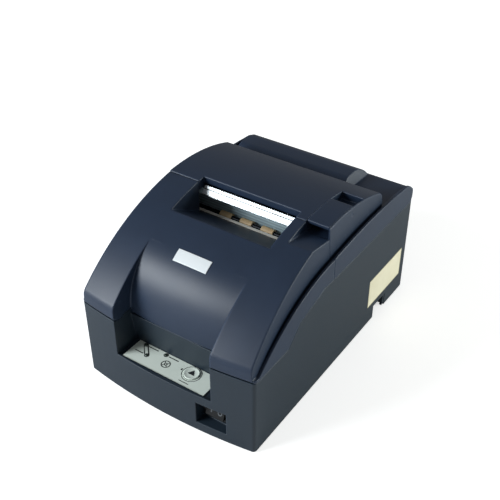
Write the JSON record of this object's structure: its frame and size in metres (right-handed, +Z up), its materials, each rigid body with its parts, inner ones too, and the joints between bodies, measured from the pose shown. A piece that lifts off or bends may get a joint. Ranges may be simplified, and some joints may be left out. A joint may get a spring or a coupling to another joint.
{
  "type": "dot matrix receipt printer",
  "caption": "Dot matrix receipt printer with hinged front and rear covers, paper exit with tear bar, control panel bay and cover lever.",
  "frame": {"origin": "on the table under the middle of the printer's overall box", "axes": "+Y from the bowed front to the connector side at the back, +X to the right as seen from the front, +Z up"},
  "size_m": [0.16, 0.248, 0.1385],
  "materials": {
    "case_plastic": "fine textured dark grey-blue",
    "cover_plastic": "fine textured dark grey-blue",
    "foot_rubber": "matt",
    "bright_steel": "turned",
    "panel_plastic": "satin light grey",
    "circuit_board": "solder mask green",
    "lamp_plastic": "clear dark lens",
    "black_plastic": "black",
    "brass_parts": "plain",
    "sheet_steel": "zinc plated sheet",
    "dark_bar": "dark grey",
    "chute_paint": "grey-blue",
    "blade_steel": "bright",
    "motor_case": "nickel plated",
    "belt_rubber": "black",
    "cassette_plastic": "black",
    "ink_fabric": "inked nylon",
    "head_aluminium": "anodised dark",
    "gear_plastic": "natural white",
    "roller_plastic": "tan",
    "knob_plastic": "blue",
    "lever_plastic": "green",
    "badge_plastic": "bare white"
  },
  "bodies": {
    "case": {"lower_case": "case_plastic", "rubber_feet": "foot_rubber", "case_screws": "bright_steel", "hinge_pins": "bright_steel", "control_panel": "panel_plastic", "panel_board": "circuit_board", "indicator_lamps": "lamp_plastic", "power_switch_body": "black_plastic", "switch_terminals": "brass_parts", "left_frame": "sheet_steel", "right_frame": "sheet_steel", "mechanism_base": "sheet_steel", "carriage_shaft": "bright_steel", "guide_rail": "sheet_steel", "cassette_shelf": "sheet_steel", "platen_bar": "dark_bar", "exit_bar": "sheet_steel", "paper_chute": "chute_paint", "tear_bar": "blade_steel", "paper_guide": "black_plastic", "carriage_motor": "motor_case", "feed_motor": "motor_case", "idler_post": "bright_steel", "timing_belt": "belt_rubber", "frame_screws": "bright_steel", "ribbon_cassette": "cassette_plastic", "ink_ribbon": "ink_fabric", "idler_stub": "bright_steel", "paper_tray": "black_plastic", "main_board": "circuit_board", "board_parts": "black_plastic", "interface_board": "circuit_board", "interface_plate": "sheet_steel", "interface_socket": "motor_case", "drawer_socket": "black_plastic", "power_socket": "black_plastic", "interface_screws": "bright_steel"},
    "front_cover": {"front_cover": "cover_plastic", "name_badge": "badge_plastic"},
    "rear_cover": {"rear_cover": "cover_plastic", "lever_pin": "bright_steel"},
    "cover_lever": {"cover_lever": "cover_plastic"},
    "feed_button": {"feed_button": "panel_plastic"},
    "power_rocker": {"power_rocker": "black_plastic"},
    "print_carriage": {"carriage": "cassette_plastic", "print_head": "head_aluminium"},
    "motor_pulley": {"motor_pulley": "gear_plastic"},
    "idler_pulley": {"idler_pulley": "gear_plastic"},
    "feed_roller": {"feed_roller": "belt_rubber", "feed_gear": "gear_plastic"},
    "pinch_roller": {"pinch_roller": "belt_rubber"},
    "idler_gear": {"idler_gear": "gear_plastic"},
    "motor_pinion": {"motor_pinion": "brass_parts"},
    "exit_roller": {"exit_shaft": "bright_steel", "exit_rollers": "roller_plastic", "exit_gear": "gear_plastic"},
    "ribbon_knob": {"ribbon_knob": "knob_plastic"},
    "near_end_lever": {"near_end_lever": "lever_plastic"}
  },
  "joints": [
    {"name": "front_cover_hinge", "type": "hinge", "parent": "case", "child": "front_cover", "pos_m": [0, -0.115, 0.079], "axis": [1, 0, 0], "range_deg": [0, 75]},
    {"name": "rear_cover_hinge", "type": "hinge", "parent": "case", "child": "rear_cover", "pos_m": [0, 0.1188, 0.0985], "axis": [-1, 0, 0], "range_deg": [0, 80]},
    {"name": "cover_lever_pull", "type": "hinge", "parent": "rear_cover", "child": "cover_lever", "pos_m": [0.0634, 0.022, 0.13151], "axis": [-1, 0, 0], "range_deg": [0, 12], "stiffness_Nm_per_rad": 0.05},
    {"name": "feed_button_press", "type": "slide", "parent": "case", "child": "feed_button", "axis": [0, 0, -1], "range_m": [0, 0.0008], "stiffness_N_per_m": 300},
    {"name": "power_rocker_tilt", "type": "hinge", "parent": "case", "child": "power_rocker", "pos_m": [0.0438, -0.1136, 0.0217], "axis": [1, 0, 0], "range_deg": [0, 12]},
    {"name": "carriage_slide", "type": "slide", "parent": "case", "child": "print_carriage", "axis": [1, 0, 0], "range_m": [-0.03, 0.03]},
    {"name": "motor_pulley_spin", "type": "hinge", "parent": "case", "child": "motor_pulley", "pos_m": [-0.046, -0.066, 0.05], "axis": [0, 0, -1], "range_deg": [-300, 300]},
    {"name": "idler_pulley_spin", "type": "hinge", "parent": "case", "child": "idler_pulley", "pos_m": [0.046, -0.066, 0.05], "axis": [0, 0, -1], "range_deg": [-300, 300]},
    {"name": "feed_roller_spin", "type": "hinge", "parent": "case", "child": "feed_roller", "pos_m": [0, 0.0082, 0.054], "axis": [1, 0, 0], "continuous": true},
    {"name": "idler_gear_spin", "type": "hinge", "parent": "case", "child": "idler_gear", "pos_m": [0.07, 0.01035, 0.08157], "axis": [1, 0, 0], "continuous": true},
    {"name": "exit_roller_spin", "type": "hinge", "parent": "case", "child": "exit_roller", "pos_m": [0, 0.0015, 0.1035], "axis": [1, 0, 0], "continuous": true},
    {"name": "motor_pinion_spin", "type": "hinge", "parent": "case", "child": "motor_pinion", "pos_m": [0.07, 0.0252, 0.04338], "axis": [1, 0, 0], "continuous": true},
    {"name": "pinch_roller_spin", "type": "hinge", "parent": "case", "child": "pinch_roller", "pos_m": [0, -0.0033, 0.054], "axis": [1, 0, 0], "continuous": true},
    {"name": "ribbon_knob_turn", "type": "hinge", "parent": "case", "child": "ribbon_knob", "pos_m": [-0.04, -0.068, 0.088], "axis": [0, 0, 1], "continuous": true},
    {"name": "near_end_swing", "type": "hinge", "parent": "case", "child": "near_end_lever", "pos_m": [-0.0444, 0.098, 0.0512], "axis": [1, 0, 0], "range_deg": [-8, 8]}
  ],
  "couplings": [
    {"joint": "motor_pulley_spin", "follows": "carriage_slide", "rad_per_m": 166.67},
    {"joint": "idler_pulley_spin", "follows": "carriage_slide", "rad_per_m": 166.67},
    {"joint": "idler_gear_spin", "follows": "feed_roller_spin", "ratio": -1.0909},
    {"joint": "exit_roller_spin", "follows": "feed_roller_spin", "ratio": 1.3846},
    {"joint": "motor_pinion_spin", "follows": "feed_roller_spin", "ratio": -2.5714}
  ]
}
